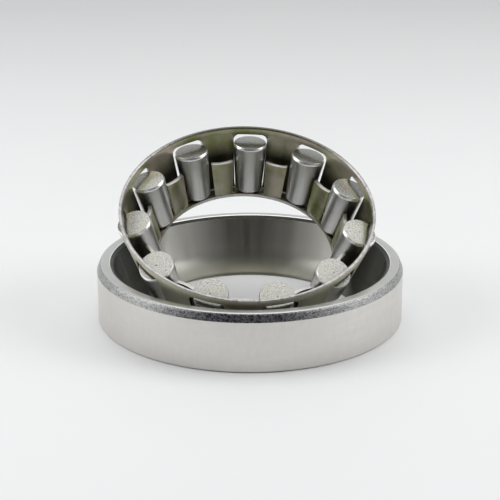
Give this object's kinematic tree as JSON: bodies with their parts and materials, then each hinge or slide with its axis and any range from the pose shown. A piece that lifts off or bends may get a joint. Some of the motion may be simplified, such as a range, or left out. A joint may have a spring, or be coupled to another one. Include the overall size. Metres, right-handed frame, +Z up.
{
  "type": "roller bearing without inner ring",
  "caption": "Separable roller bearing: plain outer ring lying flat, with a pressed steel cage of tapered rollers leaning inside it; no inner ring.",
  "frame": {"origin": "centre of the outer ring's lower face, on the ring's axis", "axes": "+Z up along the outer ring's axis; the cage with its rollers leans towards -Y"},
  "size_m": [0.072, 0.072, 0.04],
  "materials": {
    "ring_steel": "ground, satin",
    "cage_steel": "pressed sheet, satin, olive tint",
    "roller_steel": "fine ground"
  },
  "bodies": {
    "ring": {"outer_ring": "ring_steel"},
    "cage": {"cage": "cage_steel"},
    "roller_01": {"roller_01": "roller_steel"},
    "roller_02": {"roller_02": "roller_steel"},
    "roller_03": {"roller_03": "roller_steel"},
    "roller_04": {"roller_04": "roller_steel"},
    "roller_05": {"roller_05": "roller_steel"},
    "roller_06": {"roller_06": "roller_steel"},
    "roller_07": {"roller_07": "roller_steel"},
    "roller_08": {"roller_08": "roller_steel"},
    "roller_09": {"roller_09": "roller_steel"},
    "roller_10": {"roller_10": "roller_steel"},
    "roller_11": {"roller_11": "roller_steel"}
  },
  "joints": [
    {"name": "cage_spin", "type": "hinge", "parent": "ring", "child": "cage", "pos_m": [-0.00058, -0.00512, 0.02753], "axis": [0.031, -0.4233, 0.9055], "continuous": true},
    {"name": "roller_01_spin", "type": "hinge", "parent": "cage", "child": "roller_01", "pos_m": [-0.00018, 0.02061, 0.0303], "axis": [0.0372, -0.1542, 0.9873], "continuous": true},
    {"name": "roller_02_spin", "type": "hinge", "parent": "cage", "child": "roller_02", "pos_m": [-0.01352, 0.01724, 0.02918], "axis": [-0.1144, -0.1926, 0.9746], "continuous": true},
    {"name": "roller_03_spin", "type": "hinge", "parent": "cage", "child": "roller_03", "pos_m": [-0.02283, 0.00789, 0.02513], "axis": [-0.2202, -0.2989, 0.9285], "continuous": true},
    {"name": "roller_04_spin", "type": "hinge", "parent": "cage", "child": "roller_04", "pos_m": [-0.02516, -0.00446, 0.01943], "axis": [-0.2467, -0.4393, 0.8638], "continuous": true},
    {"name": "roller_05_spin", "type": "hinge", "parent": "cage", "child": "roller_05", "pos_m": [-0.01976, -0.0159, 0.0139], "axis": [-0.1854, -0.5694, 0.8009], "continuous": true},
    {"name": "roller_06_spin", "type": "hinge", "parent": "cage", "child": "roller_06", "pos_m": [-0.00836, -0.02279, 0.01029], "axis": [-0.0558, -0.6477, 0.7598], "continuous": true},
    {"name": "roller_07_spin", "type": "hinge", "parent": "cage", "child": "roller_07", "pos_m": [0.00542, -0.02294, 0.00975], "axis": [0.101, -0.6495, 0.7537], "continuous": true},
    {"name": "roller_08_spin", "type": "hinge", "parent": "cage", "child": "roller_08", "pos_m": [0.01722, -0.01632, 0.01244], "axis": [0.2352, -0.5741, 0.7843], "continuous": true},
    {"name": "roller_09_spin", "type": "hinge", "parent": "cage", "child": "roller_09", "pos_m": [0.02329, -0.00501, 0.01752], "axis": [0.3041, -0.4455, 0.842], "continuous": true},
    {"name": "roller_10_spin", "type": "hinge", "parent": "cage", "child": "roller_10", "pos_m": [0.02169, 0.00739, 0.02337], "axis": [0.286, -0.3045, 0.9086], "continuous": true},
    {"name": "roller_11_spin", "type": "hinge", "parent": "cage", "child": "roller_11", "pos_m": [0.01294, 0.01694, 0.02814], "axis": [0.1865, -0.196, 0.9627], "continuous": true}
  ],
  "couplings": [
    {"joint": "roller_01_spin", "follows": "cage_spin", "ratio": -7.7},
    {"joint": "roller_02_spin", "follows": "cage_spin", "ratio": -7.7},
    {"joint": "roller_03_spin", "follows": "cage_spin", "ratio": -7.7},
    {"joint": "roller_04_spin", "follows": "cage_spin", "ratio": -7.7},
    {"joint": "roller_05_spin", "follows": "cage_spin", "ratio": -7.7},
    {"joint": "roller_06_spin", "follows": "cage_spin", "ratio": -7.7},
    {"joint": "roller_07_spin", "follows": "cage_spin", "ratio": -7.7},
    {"joint": "roller_08_spin", "follows": "cage_spin", "ratio": -7.7},
    {"joint": "roller_09_spin", "follows": "cage_spin", "ratio": -7.7},
    {"joint": "roller_10_spin", "follows": "cage_spin", "ratio": -7.7},
    {"joint": "roller_11_spin", "follows": "cage_spin", "ratio": -7.7}
  ]
}
